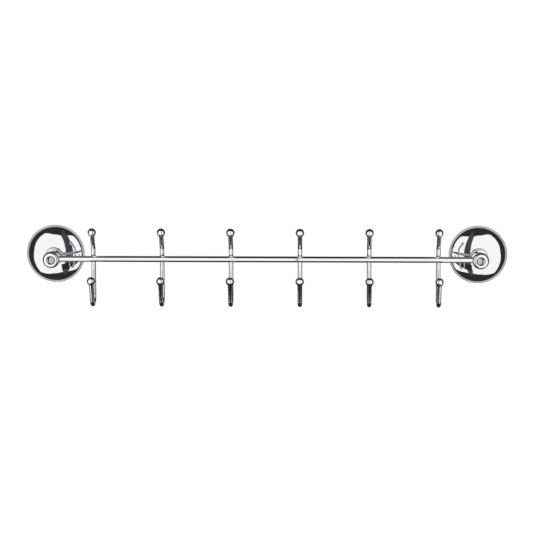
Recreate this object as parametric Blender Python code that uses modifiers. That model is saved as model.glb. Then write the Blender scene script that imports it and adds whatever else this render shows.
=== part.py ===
"""Chrome towel hook rail: a round bar between two turned knobs on posts and domed flanges, with six
double wire hooks.

Metres. +X runs along the bar, the wall is the plane Y = 0 with the room on its -Y side, and +Z is up. The
origin is on the wall plane, midway between the flanges, at the height of the bar's axis. Turned pieces are
drawn about a local Z axis that points away from the wall.
"""

import math

import bmesh
import bpy
from mathutils import Matrix

MM = 0.001

# Clearance left between two pieces that touch on the real rail.
SEAT_GAP = 0.3 * MM

# Bar and where it runs.
POST_SPACING = 450 * MM
BAR_STANDOFF = 32 * MM
BAR_DIAMETER = 6.4 * MM
BAR_END_TO_KNOB_AXIS = 2 * MM
BAR_END_CHAMFER = 0.4 * MM
CHAMFERED_ANGLE = math.radians(60)
SMOOTH_ANGLE = math.radians(35)

# Flange cover: a pressed dome with a steeper, curved skirt down to the wall.
FLANGE_DIAMETER = 62 * MM
FLANGE_SHEET = 1 * MM
DOME_RISE = 10.6 * MM
RIM_WIDTH = 2.4 * MM
RIM_HEIGHT = 4.2 * MM
RIM_CURVE_RADIUS = 11 * MM

# Post: a stud for the nut, a stepped collar, a stem and a spigot for the knob.
STUD_DIAMETER = 5 * MM
STUD_TAIL = 7 * MM
COLLAR_DIAMETER = 19 * MM
COLLAR_EDGE_HEIGHT = 1.8 * MM
COLLAR_SHOULDER = 1.6 * MM
COLLAR_STEP_DIAMETER = 12.4 * MM
COLLAR_STEP_HEIGHT = 1.2 * MM
STEM_DIAMETER = 9.6 * MM
STEM_FILLET = 1.2 * MM
SPIGOT_DIAMETER = 6 * MM
SPIGOT_LENGTH = 4.4 * MM

# Knob and the button in its front.
KNOB_DIAMETER = 17.8 * MM
KNOB_FRONT_REACH = 9.6 * MM
KNOB_BACK_REACH = 9 * MM
KNOB_FRONT_ROUNDING = 2.3 * MM
KNOB_BACK_ROUNDING = 2.6 * MM
CAP_DIAMETER = 9.2 * MM
CAP_SEAT_DEPTH = 2.2 * MM
CAP_LIP = 0.5 * MM
CAP_DISH = 1.3 * MM

# Double hooks of round wire. Heights are from the bar's axis and reaches are forward of the wire's back run.
HOOK_COUNT = 6
END_HOOK_TO_POST = 43.25 * MM
WIRE_DIAMETER = 4.8 * MM
UPPER_BALL_HEIGHT = 29 * MM
UPPER_BALL_REACH = 10.6 * MM
UPPER_LEAN = math.radians(30)
UPPER_BEND_RADIUS = 8 * MM
LOWER_BALL_DROP = 20 * MM
LOWER_BALL_REACH = 25 * MM
LOWER_LEAN = math.radians(19)
LOWER_BEND_RADIUS = 9 * MM
BALL_DIAMETER = 9 * MM
NECK_DIAMETER = 5.4 * MM
NECK_LENGTH = 0.9 * MM
BALL_STUD_DIAMETER = 2.6 * MM
BALL_STUD_LENGTH = 3.4 * MM
STUD_SHOULDER_TAPER = 0.02 * MM

# Wall bracket: a pressed strap with a lug bent forward at each end.
BRACKET_WIDTH = 16 * MM
BRACKET_SHEET = 1.5 * MM
BRACKET_LUG = 4.2 * MM
COVER_SCREW_LENGTH = 4 * MM
COVER_SCREW_DIAMETER = 2.2 * MM
COVER_SCREW_DEPTH = 1.7 * MM
COVER_SCREW_SINK = 1.2 * MM

# Fasteners.
WALL_SCREW_TO_LUG = 10.5 * MM
WALL_SCREW_DIAMETER = 4 * MM
WALL_SCREW_LENGTH = 30 * MM
WALL_SCREW_TIP = 5 * MM
SCREW_HEAD_DIAMETER = 7.6 * MM
SCREW_HEAD_HEIGHT = 2.4 * MM
NUT_ACROSS_FLATS = 8 * MM
NUT_HEIGHT = 4 * MM
WASHER_DIAMETER = 10 * MM
WASHER_HEIGHT = 1 * MM

# Facets round each turned piece.
COVER_STEPS = 32
POST_STEPS = 20
KNOB_STEPS = 24
BALL_STEPS = 12
SMALL_STEPS = 12
HOLE_STEPS = 16
WIRE_BEVEL_RESOLUTION = 2

# Straight steps along each curved line of a profile or path.
DOME_STEPS = 7
SKIRT_STEPS = 3
COLLAR_SEAT_STEPS = 3
COLLAR_SHOULDER_STEPS = 4
FILLET_STEPS = 3
KNOB_FRONT_STEPS = 5
KNOB_BACK_STEPS = 3
CAP_DISH_STEPS = 4
BALL_ARC_STEPS = 7
UPPER_BEND_STEPS = 4
LOWER_BEND_STEPS = 10
SCREW_HEAD_STEPS = 2

# The screw modifier and the welds join only points that lie on each other.
MERGE_DISTANCE = 0.00001

# Sizes that follow from those above.
FLANGE_RADIUS = FLANGE_DIAMETER / 2
DOME_EDGE_RADIUS = FLANGE_RADIUS - RIM_WIDTH
DOME_APEX = RIM_HEIGHT + DOME_RISE
DOME_RADIUS = (DOME_EDGE_RADIUS**2 + DOME_RISE**2) / (2 * DOME_RISE)
STUD_HOLE_RADIUS = STUD_DIAMETER / 2 + SEAT_GAP
KNOB_BACK = BAR_STANDOFF - KNOB_BACK_REACH
KNOB_FRONT = BAR_STANDOFF + KNOB_FRONT_REACH
SPIGOT_END = KNOB_BACK + SPIGOT_LENGTH
WIRE_STANDOFF = BAR_STANDOFF - (BAR_DIAMETER + WIRE_DIAMETER) / 2 - SEAT_GAP
HOOK_SPACING = (POST_SPACING - 2 * END_HOOK_TO_POST) / (HOOK_COUNT - 1)
BRACKET_HALF_HEIGHT = FLANGE_RADIUS - COVER_SCREW_SINK - COVER_SCREW_LENGTH - SEAT_GAP
WALL_SCREW_OFFSET = BRACKET_HALF_HEIGHT - WALL_SCREW_TO_LUG

# Turns a piece drawn about local Z so that it points away from the wall.
FROM_WALL = Matrix.Rotation(math.radians(90), 4, "X")


def clear_scene():
    for obj in list(bpy.data.objects):
        bpy.data.objects.remove(obj, do_unlink=True)
    for mesh in list(bpy.data.meshes):
        bpy.data.meshes.remove(mesh)


def new_collection(name):
    collection = bpy.data.collections.new(name)
    bpy.context.scene.collection.children.link(collection)
    return collection


def principled(name, colour, roughness, metallic=1.0):
    material = bpy.data.materials.new(name)
    material.use_nodes = True
    shader = material.node_tree.nodes["Principled BSDF"]
    shader.inputs["Base Color"].default_value = (*colour, 1.0)
    shader.inputs["Roughness"].default_value = roughness
    shader.inputs["Metallic"].default_value = metallic
    return material


def add_object(name, data, collection, material=None):
    obj = bpy.data.objects.new(name, data)
    collection.objects.link(obj)
    if material is not None:
        data.materials.append(material)
    return obj


def shade_smooth(mesh):
    mesh.shade_smooth()
    mesh.set_sharp_from_angle(angle=SMOOTH_ANGLE)


def make_cutter(obj):
    obj.hide_render = True
    obj.display_type = "WIRE"
    return obj


def cut(obj, cutter, name):
    """Takes the cutter's volume out of the object."""
    modifier = obj.modifiers.new(name, "BOOLEAN")
    modifier.operation = "DIFFERENCE"
    modifier.solver = "EXACT"
    modifier.object = cutter


def arc(centre_r, centre_z, radius, start, end, count):
    """Points of a circular arc in the plane of a turned profile, angles in degrees from +r towards +z."""
    points = []
    for i in range(count + 1):
        angle = math.radians(start + (end - start) * i / count)
        points.append((centre_r + radius * math.cos(angle), centre_z + radius * math.sin(angle)))
    return points


def turned_mesh(name, profile, closed=False):
    """A profile of (radius, height) points joined by edges, for a Screw modifier to turn about Z."""
    mesh = bpy.data.meshes.new(name)
    edges = [(i, i + 1) for i in range(len(profile) - 1)]
    if closed:
        edges.append((len(profile) - 1, 0))
    mesh.from_pydata([(r, 0, z) for r, z in profile], edges, [])
    return mesh


def add_screw(obj, steps):
    screw = obj.modifiers.new("turn", "SCREW")
    screw.axis = "Z"
    screw.steps = steps
    screw.render_steps = steps
    screw.use_merge_vertices = True
    screw.merge_threshold = MERGE_DISTANCE
    screw.use_smooth_shade = True


def turned(name, profile, steps, matrix, collection, material, closed=False):
    obj = add_object(name, turned_mesh(name, profile, closed), collection, material)
    obj.matrix_world = matrix
    add_screw(obj, steps)
    return obj


def cylinder_mesh(name, radius, length, steps):
    """A cylinder about Z with its middle at the origin."""
    bm = bmesh.new()
    bmesh.ops.create_cone(
        bm, cap_ends=True, segments=steps, radius1=radius, radius2=radius, depth=length
    )
    mesh = bpy.data.meshes.new(name)
    bm.to_mesh(mesh)
    bm.free()
    return mesh


def cylinder(name, radius, length, steps, matrix, collection, material=None):
    obj = add_object(name, cylinder_mesh(name, radius, length, steps), collection, material)
    obj.matrix_world = matrix
    return obj


def dome_height(radius):
    """Height of the dome's outer face above the wall at this distance from the flange's axis."""
    return DOME_APEX - DOME_RADIUS + math.sqrt(DOME_RADIUS**2 - radius**2)


def cover_profile():
    """Outer face of the cover, from the stud's hole at the apex out to the skirt's foot on the wall."""
    points = []
    for i in range(DOME_STEPS + 1):
        share = i / DOME_STEPS
        radius = STUD_HOLE_RADIUS + (DOME_EDGE_RADIUS - STUD_HOLE_RADIUS) * share
        points.append((radius, dome_height(radius)))

    # The skirt is an arc from the dome's edge to the foot. Its chord sets the arc's middle direction.
    chord = math.hypot(RIM_WIDTH, RIM_HEIGHT)
    middle = math.degrees(math.atan2(RIM_WIDTH, RIM_HEIGHT))
    half_span = math.degrees(math.asin(chord / 2 / RIM_CURVE_RADIUS))
    end = math.radians(middle - half_span)
    centre_r = FLANGE_RADIUS - RIM_CURVE_RADIUS * math.cos(end)
    centre_z = -RIM_CURVE_RADIUS * math.sin(end)
    points += arc(
        centre_r, centre_z, RIM_CURVE_RADIUS, middle + half_span, middle - half_span, SKIRT_STEPS
    )[1:-1]
    points.append((FLANGE_RADIUS, 0))
    return points


def flange_cover(side, centre, parts, cutters, chrome):
    cover = turned(side + "_flange_cover", cover_profile(), COVER_STEPS, centre, parts, chrome)
    shell = cover.modifiers.new("sheet", "SOLIDIFY")
    shell.thickness = FLANGE_SHEET
    shell.offset = -1
    shell.use_even_offset = True
    hole = cylinder(
        side + "_cover_screw_hole",
        COVER_SCREW_DIAMETER / 2 + SEAT_GAP,
        2 * (RIM_WIDTH + 2 * FLANGE_SHEET),
        HOLE_STEPS,
        centre @ Matrix.Translation((0, -FLANGE_RADIUS, COVER_SCREW_DEPTH)) @ FROM_WALL,
        cutters,
    )
    cut(cover, make_cutter(hole), "cover screw hole")
    return cover


def post_profile():
    """Stud, collar with its underside hollowed to the dome, stem and spigot, from front to back."""
    stem_radius = STEM_DIAMETER / 2
    collar_radius = COLLAR_DIAMETER / 2
    step_radius = COLLAR_STEP_DIAMETER / 2
    spigot_radius = SPIGOT_DIAMETER / 2
    collar_base = dome_height(collar_radius) + SEAT_GAP
    edge_top = collar_base + COLLAR_EDGE_HEIGHT
    shoulder_top = edge_top + COLLAR_SHOULDER
    step_top = shoulder_top + COLLAR_STEP_HEIGHT
    stem_end = KNOB_BACK - SEAT_GAP
    points = [
        (0, SPIGOT_END),
        (spigot_radius, SPIGOT_END),
        (spigot_radius, stem_end),
        (stem_radius, stem_end),
        (stem_radius, step_top + STEM_FILLET),
    ]
    points += arc(
        stem_radius + STEM_FILLET, step_top + STEM_FILLET, STEM_FILLET, 180, 270, FILLET_STEPS
    )[1:]
    points.append((step_radius, step_top))
    points.append((step_radius, shoulder_top))
    points += arc(
        collar_radius - COLLAR_SHOULDER, edge_top, COLLAR_SHOULDER, 90, 0, COLLAR_SHOULDER_STEPS
    )
    stud_radius = STUD_DIAMETER / 2
    for i in range(COLLAR_SEAT_STEPS + 1):
        radius = collar_radius + (stud_radius - collar_radius) * i / COLLAR_SEAT_STEPS
        points.append((radius, dome_height(radius) + SEAT_GAP))
    points.append((stud_radius, STUD_TAIL))
    points.append((0, STUD_TAIL))
    return points


def knob_profile():
    """Barrel with rounded edges, a seat for the cap in front and a bore for the post's spigot behind."""
    radius = KNOB_DIAMETER / 2
    seat_radius = CAP_DIAMETER / 2 + SEAT_GAP
    bore_radius = SPIGOT_DIAMETER / 2 + SEAT_GAP
    seat = KNOB_FRONT - CAP_SEAT_DEPTH
    points = [(0, seat), (seat_radius, seat), (seat_radius, KNOB_FRONT)]
    front = KNOB_FRONT_ROUNDING
    back = KNOB_BACK_ROUNDING
    points += arc(radius - front, KNOB_FRONT - front, front, 90, 0, KNOB_FRONT_STEPS)
    points += arc(radius - back, KNOB_BACK + back, back, 0, -90, KNOB_BACK_STEPS)
    points.append((bore_radius, KNOB_BACK))
    points.append((bore_radius, SPIGOT_END + SEAT_GAP))
    points.append((0, SPIGOT_END + SEAT_GAP))
    return points


def knob(side, centre, inward, parts, cutters, chrome):
    """The knob, with a blind cross hole for the bar on the side that faces the other knob."""
    obj = turned(side + "_knob", knob_profile(), KNOB_STEPS, centre, parts, chrome)
    start = BAR_END_TO_KNOB_AXIS - SEAT_GAP
    length = KNOB_DIAMETER
    hole = cylinder(
        side + "_bar_hole",
        BAR_DIAMETER / 2 + SEAT_GAP,
        length,
        HOLE_STEPS,
        centre
        @ Matrix.Translation((inward * (start + length / 2), 0, BAR_STANDOFF))
        @ Matrix.Rotation(math.radians(90), 4, "Y"),
        cutters,
    )
    cut(obj, make_cutter(hole), "bar hole")
    return obj


def cap_profile():
    """Button whose front is a shallow dish inside a narrow lip."""
    radius = CAP_DIAMETER / 2
    mouth = radius - CAP_LIP
    dish_radius = (mouth**2 + CAP_DISH**2) / (2 * CAP_DISH)
    half_angle = math.degrees(math.asin(mouth / dish_radius))
    seat = KNOB_FRONT - CAP_SEAT_DEPTH + SEAT_GAP
    bottom = KNOB_FRONT - CAP_DISH
    points = arc(0, bottom + dish_radius, dish_radius, -90, half_angle - 90, CAP_DISH_STEPS)
    points[0] = (0, bottom)
    points += [(radius, KNOB_FRONT), (radius, seat), (0, seat)]
    return points


def wire_path():
    """The hook wire's centreline from the upper ball's stud to the lower ball's.

    Each point is (reach forward of the back run, height, share of the wire's radius). The share drops at both
    ends for the balls' studs.
    """
    upper_axis = (math.sin(UPPER_LEAN), math.cos(UPPER_LEAN))
    lower_axis = (math.sin(LOWER_LEAN), math.cos(LOWER_LEAN))
    upper_ball = (UPPER_BALL_REACH, UPPER_BALL_HEIGHT)
    lower_ball = (LOWER_BALL_REACH, -LOWER_BALL_DROP)
    shoulder = BALL_DIAMETER / 2 + NECK_LENGTH + SEAT_GAP
    stud_end = shoulder - BALL_STUD_LENGTH
    stud_share = BALL_STUD_DIAMETER / WIRE_DIAMETER
    stud_start = shoulder - STUD_SHOULDER_TAPER

    def below(ball, axis, distance):
        return (ball[0] - axis[0] * distance, ball[1] - axis[1] * distance)

    path = [
        (*below(upper_ball, upper_axis, stud_end), stud_share),
        (*below(upper_ball, upper_axis, stud_start), stud_share),
        (*below(upper_ball, upper_axis, shoulder), 1),
    ]

    # The upper bend turns from the lean to upright and ends on the back run.
    bend_reach = UPPER_BEND_RADIUS * (1 - math.cos(UPPER_LEAN))
    straight = (UPPER_BALL_REACH - bend_reach) / math.sin(UPPER_LEAN)
    bend_top = below(upper_ball, upper_axis, straight)[1]
    bend_centre_height = bend_top - UPPER_BEND_RADIUS * math.sin(UPPER_LEAN)
    for i in range(UPPER_BEND_STEPS + 1):
        angle = UPPER_LEAN * (1 - i / UPPER_BEND_STEPS)
        path.append(
            (
                UPPER_BEND_RADIUS * (1 - math.cos(angle)),
                bend_centre_height + UPPER_BEND_RADIUS * math.sin(angle),
                1,
            )
        )

    # The back run has a point where the bar is brazed to it.
    path.append((0, 0, 1))

    # The lower bend turns from the back run, under, and up into the front prong.
    radius = LOWER_BEND_RADIUS
    prong = (LOWER_BALL_REACH - radius * (1 + math.cos(LOWER_LEAN))) / math.sin(LOWER_LEAN)
    bend_end_height = below(lower_ball, lower_axis, prong)[1]
    centre_height = bend_end_height + radius * math.sin(LOWER_LEAN)
    turn = math.pi - LOWER_LEAN
    for i in range(LOWER_BEND_STEPS + 1):
        angle = turn * i / LOWER_BEND_STEPS
        path.append((radius * (1 - math.cos(angle)), centre_height - radius * math.sin(angle), 1))

    path += [
        (*below(lower_ball, lower_axis, shoulder), 1),
        (*below(lower_ball, lower_axis, stud_start), stud_share),
        (*below(lower_ball, lower_axis, stud_end), stud_share),
    ]
    return path


def wire_curve():
    """One curve that every hook wire shares, drawn in the plane X = 0 with its back run on the Z axis."""
    curve = bpy.data.curves.new("hook_wire", "CURVE")
    curve.dimensions = "3D"
    curve.bevel_depth = WIRE_DIAMETER / 2
    curve.bevel_resolution = WIRE_BEVEL_RESOLUTION
    curve.use_fill_caps = True
    curve.twist_mode = "Z_UP"
    path = wire_path()
    spline = curve.splines.new("POLY")
    spline.points.add(len(path) - 1)
    for point, (reach, height, share) in zip(spline.points, path):
        point.co = (0, -reach, height, 1)
        point.radius = share
    return curve


def ball_profile():
    """Ball with a short neck and a blind bore for the wire's stud."""
    radius = BALL_DIAMETER / 2
    neck_radius = NECK_DIAMETER / 2
    bore_radius = BALL_STUD_DIAMETER / 2 + SEAT_GAP
    neck_end = -(radius + NECK_LENGTH)
    bore_end = neck_end + BALL_STUD_LENGTH
    neck_angle = -math.degrees(math.acos(neck_radius / radius))
    points = arc(0, 0, radius, 90, neck_angle, BALL_ARC_STEPS)
    points[0] = (0, radius)
    points += [
        (neck_radius, neck_end),
        (bore_radius, neck_end),
        (bore_radius, bore_end),
        (0, bore_end),
    ]
    return points


def hook(number, x, parts, chrome, curve, ball_mesh):
    name = "hook_%d" % number
    wire = add_object(name + "_wire", curve, parts)
    wire.location = (x, -WIRE_STANDOFF, 0)
    balls = (
        ("_upper_ball", UPPER_BALL_REACH, UPPER_BALL_HEIGHT, UPPER_LEAN),
        ("_lower_ball", LOWER_BALL_REACH, -LOWER_BALL_DROP, LOWER_LEAN),
    )
    for suffix, reach, height, lean in balls:
        ball = add_object(name + suffix, ball_mesh, parts)
        ball.parent = wire
        ball.location = (0, -reach, height)
        ball.rotation_euler = (lean, 0, 0)
        add_screw(ball, BALL_STEPS)


def bracket_mesh(name):
    """The strap's back face as an open strip: lug, plate and lug, drawn with Z away from the wall."""
    half_width = BRACKET_WIDTH / 2
    half_height = BRACKET_HALF_HEIGHT
    section = [
        (half_height, BRACKET_LUG),
        (half_height, 0),
        (-half_height, 0),
        (-half_height, BRACKET_LUG),
    ]
    bm = bmesh.new()
    rows = [[bm.verts.new((x, y, z)) for x in (-half_width, half_width)] for y, z in section]
    for first, second in zip(rows, rows[1:]):
        bm.faces.new((first[0], first[1], second[1], second[0]))
    mesh = bpy.data.meshes.new(name)
    bm.to_mesh(mesh)
    bm.free()
    return mesh


def wall_bracket(side, centre, parts, cutters, steel):
    name = side + "_wall_bracket"
    obj = add_object(name, bracket_mesh(name), parts, steel)
    obj.matrix_world = centre
    sheet = obj.modifiers.new("sheet", "SOLIDIFY")
    sheet.thickness = BRACKET_SHEET
    sheet.offset = -1
    sheet.use_even_offset = True
    for place, y in screw_places():
        hole = cylinder(
            side + "_bracket_hole_" + place,
            WALL_SCREW_DIAMETER / 2 + SEAT_GAP,
            4 * BRACKET_SHEET,
            HOLE_STEPS,
            centre @ Matrix.Translation((0, y, 0)),
            cutters,
        )
        cut(obj, make_cutter(hole), place + " screw hole")
    return obj


def screw_places():
    return (("upper", WALL_SCREW_OFFSET), ("lower", -WALL_SCREW_OFFSET))


def wall_screw_profile():
    """Pan head on the bracket, then a shank that tapers to a point inside the wall."""
    head_radius = SCREW_HEAD_DIAMETER / 2
    shank_radius = WALL_SCREW_DIAMETER / 2
    seat = BRACKET_SHEET + SEAT_GAP
    top = seat + SCREW_HEAD_HEIGHT
    crown = SCREW_HEAD_HEIGHT / 2
    return [
        (0, top),
        *arc(head_radius - crown, top - crown, crown, 90, 0, SCREW_HEAD_STEPS),
        (head_radius, seat),
        (shank_radius, seat),
        (shank_radius, WALL_SCREW_TIP - WALL_SCREW_LENGTH),
        (0, -WALL_SCREW_LENGTH),
    ]


def washer_profile():
    """Flat ring just inside the cover's apex, clear of the dome's curve at the ring's edge."""
    outer = WASHER_DIAMETER / 2
    top = dome_height(outer) - FLANGE_SHEET - SEAT_GAP
    bottom = top - WASHER_HEIGHT
    return [
        (STUD_HOLE_RADIUS, top),
        (outer, top),
        (outer, bottom),
        (STUD_HOLE_RADIUS, bottom),
    ]


def post_nut(side, centre, parts, cutters, steel):
    top = washer_profile()[2][1] - SEAT_GAP
    matrix = centre @ Matrix.Translation((0, 0, top - NUT_HEIGHT / 2))
    corner_radius = NUT_ACROSS_FLATS / 2 / math.cos(math.radians(30))
    nut = cylinder(side + "_post_nut", corner_radius, NUT_HEIGHT, 6, matrix, parts, steel)
    hole = cylinder(
        side + "_nut_hole", STUD_HOLE_RADIUS, 2 * NUT_HEIGHT, HOLE_STEPS, matrix, cutters
    )
    cut(nut, make_cutter(hole), "thread")
    return nut


def cover_screw(side, centre, parts, steel):
    """Headless screw in the underside of the rim, its tip on the bracket's lower lug."""
    middle = FLANGE_RADIUS - COVER_SCREW_SINK - COVER_SCREW_LENGTH / 2
    cylinder(
        side + "_cover_screw",
        COVER_SCREW_DIAMETER / 2,
        COVER_SCREW_LENGTH,
        SMALL_STEPS,
        centre @ Matrix.Translation((0, -middle, COVER_SCREW_DEPTH)) @ FROM_WALL,
        parts,
        steel,
    )


def end_support(side, direction, parts, cutters, chrome, steel):
    """Everything at one end of the bar. Direction is -1 for the left end and 1 for the right."""
    centre = Matrix.Translation((direction * POST_SPACING / 2, 0, 0)) @ FROM_WALL
    flange_cover(side, centre, parts, cutters, chrome)
    turned(side + "_post", post_profile(), POST_STEPS, centre, parts, chrome)
    knob(side, centre, -direction, parts, cutters, chrome)
    turned(side + "_knob_cap", cap_profile(), POST_STEPS, centre, parts, chrome)
    wall_bracket(side, centre, parts, cutters, steel)
    for place, y in screw_places():
        turned(
            side + "_wall_screw_" + place,
            wall_screw_profile(),
            SMALL_STEPS,
            centre @ Matrix.Translation((0, y, 0)),
            parts,
            steel,
        )
    turned(
        side + "_post_washer", washer_profile(), POST_STEPS, centre, parts, steel, closed=True
    )
    post_nut(side, centre, parts, cutters, steel)
    cover_screw(side, centre, parts, steel)


def bar(parts, chrome):
    length = POST_SPACING - 2 * BAR_END_TO_KNOB_AXIS
    matrix = Matrix.Translation((0, -BAR_STANDOFF, 0)) @ Matrix.Rotation(math.radians(90), 4, "Y")
    obj = cylinder("bar", BAR_DIAMETER / 2, length, POST_STEPS, matrix, parts, chrome)
    chamfer = obj.modifiers.new("end chamfer", "BEVEL")
    chamfer.width = BAR_END_CHAMFER
    chamfer.segments = 1
    chamfer.limit_method = "ANGLE"
    chamfer.angle_limit = CHAMFERED_ANGLE
    shade_smooth(obj.data)


def hooks(parts, chrome):
    curve = wire_curve()
    curve.materials.append(chrome)
    ball_mesh = turned_mesh("hook_ball", ball_profile())
    ball_mesh.materials.append(chrome)
    first = -HOOK_SPACING * (HOOK_COUNT - 1) / 2
    for i in range(HOOK_COUNT):
        hook(i + 1, first + HOOK_SPACING * i, parts, chrome, curve, ball_mesh)


def main():
    clear_scene()
    parts = new_collection("towel_hook_rail")
    cutters = new_collection("cutters")
    chrome = principled("chrome", (0.78, 0.78, 0.79), 0.06)
    steel = principled("zinc_plated_steel", (0.62, 0.62, 0.6), 0.35)
    bar(parts, chrome)
    for side, direction in (("left", -1), ("right", 1)):
        end_support(side, direction, parts, cutters, chrome, steel)
    hooks(parts, chrome)


main()
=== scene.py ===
"""Looks of the chrome towel hook rail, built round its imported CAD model.

Metres. The wall is the plane Y = 0, the room is on its -Y side, +X runs along the bar and +Z is up. Turned
pieces are drawn about a local Z axis that points away from the wall.
"""

import math

import bmesh
import bpy
from mathutils import Matrix, Vector


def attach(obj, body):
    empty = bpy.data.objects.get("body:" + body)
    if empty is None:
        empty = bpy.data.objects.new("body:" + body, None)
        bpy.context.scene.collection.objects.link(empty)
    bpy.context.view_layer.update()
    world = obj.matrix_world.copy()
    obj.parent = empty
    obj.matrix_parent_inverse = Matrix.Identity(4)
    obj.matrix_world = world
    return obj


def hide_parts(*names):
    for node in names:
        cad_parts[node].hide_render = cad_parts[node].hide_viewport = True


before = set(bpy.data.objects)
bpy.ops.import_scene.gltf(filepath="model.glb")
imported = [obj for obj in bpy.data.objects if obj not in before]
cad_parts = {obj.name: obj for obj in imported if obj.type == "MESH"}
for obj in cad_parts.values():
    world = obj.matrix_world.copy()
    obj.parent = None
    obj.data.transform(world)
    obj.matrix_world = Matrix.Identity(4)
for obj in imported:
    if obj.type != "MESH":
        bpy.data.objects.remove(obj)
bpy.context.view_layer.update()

MM = 0.001
SEAT_GAP = 0.3 * MM
CONTACT_GAP = 0.05 * MM
BORE_CLEARANCE = 0.08 * MM
EDGE_ROUNDING = 0.2 * MM
SIDES = (("left", -1), ("right", 1))

# Edges sharper than this many degrees stay sharp in the shading, or are rounded on the bracket.
SHARP_ANGLE = 40
COVER_SHARP_ANGLE = 50
BRACKET_SHARP_ANGLE = 50
NUT_SHARP_ANGLE = 25

# Segments round each turned or swept piece and round the holes.
COVER_SEGMENTS = 192
KNOB_SEGMENTS = 128
LARGE_SEGMENTS = 96
SMALL_SEGMENTS = 64
THIN_SEGMENTS = 48
THREAD_SEGMENTS = 40
STRAP_HOLE_SEGMENTS = 32
COVER_HOLE_SEGMENTS = 24

# Steps along each curve.
DOME_STEPS = 40
SKIRT_STEPS = 10
COLLAR_STEPS = 5
DISH_STEPS = 24
BALL_STEPS = 40
UPPER_BEND_STEPS = 14
LOWER_BEND_STEPS = 56

# Bar.
POST_SPACING = 450 * MM
BAR_STANDOFF = 32 * MM
BAR_RADIUS = 3.2 * MM
BAR_END_TO_KNOB_AXIS = 2 * MM
BAR_END_ROUNDING = 0.4 * MM

# Flange cover.
FLANGE_RADIUS = 31 * MM
FLANGE_SHEET = 1 * MM
DOME_RISE = 10.6 * MM
RIM_WIDTH = 2.4 * MM
RIM_HEIGHT = 4.2 * MM
RIM_CURVE_RADIUS = 11 * MM
FOOT_CHAMFER_WIDTH = 0.25 * MM
FOOT_CHAMFER_HEIGHT = 0.2 * MM
FOOT_INNER_CHAMFER = 0.1 * MM
DOME_EDGE_RADIUS = FLANGE_RADIUS - RIM_WIDTH
DOME_APEX = RIM_HEIGHT + DOME_RISE
DOME_RADIUS = (DOME_EDGE_RADIUS**2 + DOME_RISE**2) / (2 * DOME_RISE)

# Post.
STUD_RADIUS = 2.5 * MM
STUD_TAIL = 7 * MM
STUD_PITCH = 0.8 * MM
STUD_THREAD_DEPTH = 0.45 * MM
STUD_OVERLAP = 0.2 * MM
COLLAR_RADIUS = 9.5 * MM
COLLAR_EDGE_HEIGHT = 1.8 * MM
COLLAR_SHOULDER = 1.6 * MM
COLLAR_UNDERCUT = 1 * MM
COLLAR_EDGE_ROUNDING = 0.3 * MM
COLLAR_STEP_RADIUS = 6.2 * MM
COLLAR_STEP_HEIGHT = 1.2 * MM
COLLAR_STEP_ROUNDING = 0.35 * MM
STEM_RADIUS = 4.8 * MM
STEM_FILLET = 1.2 * MM
TENON_LENGTH = 3 * MM

# Knob and the dished button in its front.
KNOB_RADIUS = 8.9 * MM
KNOB_FRONT_REACH = 9.6 * MM
KNOB_BACK_REACH = 9 * MM
KNOB_FRONT_ROUNDING = 3.8 * MM
KNOB_BACK_ROUNDING = 2.6 * MM
KNOB_MOUTH_ROUNDING = 0.25 * MM
KNOB_SEAT_ROUNDING = 0.1 * MM
KNOB_SOCKET_DEPTH = 2 * MM
KNOB_SOCKET_RADIUS = STEM_RADIUS + 0.1 * MM
KNOB_BACK = BAR_STANDOFF - KNOB_BACK_REACH
KNOB_FRONT = BAR_STANDOFF + KNOB_FRONT_REACH
CAP_RADIUS = 4.6 * MM
CAP_DISH = 1.7 * MM
CAP_EDGE_WIDTH = 0.25 * MM
CAP_CORNER = (0.06 * MM, 0.04 * MM)
CAP_SEAT_DEPTH = 2.2 * MM

# Double hooks. Heights are from the bar's axis and reaches are forward of the wire's back run. The ball ends
# the clear angle, in degrees, before it would meet the neck's side.
HOOK_COUNT = 6
HOOK_SPACING = 72.7 * MM
WIRE_RADIUS = 2.4 * MM
WIRE_STANDOFF = BAR_STANDOFF - BAR_RADIUS - WIRE_RADIUS - SEAT_GAP
UPPER_BALL = (10.6 * MM, 29 * MM)
UPPER_LEAN = math.radians(30)
UPPER_BEND_RADIUS = 8 * MM
LOWER_BALL = (25 * MM, -20 * MM)
LOWER_LEAN = math.radians(19)
LOWER_BEND_RADIUS = 9 * MM
BALL_RADIUS = 4.5 * MM
NECK_RADIUS = 2.7 * MM
NECK_LENGTH = 0.9 * MM
NECK_OVERLAP = 0.1 * MM
NECK_CLEAR_ANGLE = 3
NECK_TOP_DROP = 0.3 * MM
NECK_TOP_ROUNDING = 0.15 * MM
NECK_END_ROUNDING = 0.25 * MM
BRAZE_HALF_SIZES = (1.9 * MM, 1.25 * MM, 2.5 * MM)

# Wall bracket and its fasteners.
BRACKET_WIDTH = 16 * MM
BRACKET_SHEET = 1.5 * MM
BRACKET_LUG = 4.2 * MM
BRACKET_HALF_HEIGHT = 25.5 * MM
BRACKET_BEND = 1.2 * MM
WALL_SCREW_SPACING = 30 * MM
WALL_SCREW_RADIUS = 2 * MM
WALL_SCREW_CORE = 1.35 * MM
WALL_SCREW_PITCH = 1.8 * MM
WALL_SCREW_LENGTH = 30 * MM
WALL_SCREW_TIP = 5 * MM
WALL_SCREW_CLEARANCE = 0.25 * MM
SCREW_HEAD_RADIUS = 3.8 * MM
SCREW_HEAD_HEIGHT = 2.4 * MM
SCREW_HEAD_ROUNDING = 1.3 * MM
SCREW_HEAD_ROOT = 0.5 * MM
RECESS_RADIUS = 2.2 * MM
RECESS_LENGTH = 2.4 * MM
RECESS_NARROWING = 0.28
NUT_ACROSS_FLATS = 8 * MM
NUT_HEIGHT = 4 * MM
NUT_CHAMFER_WIDTH = 0.7 * MM
NUT_CHAMFER_HEIGHT = 0.5 * MM
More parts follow.
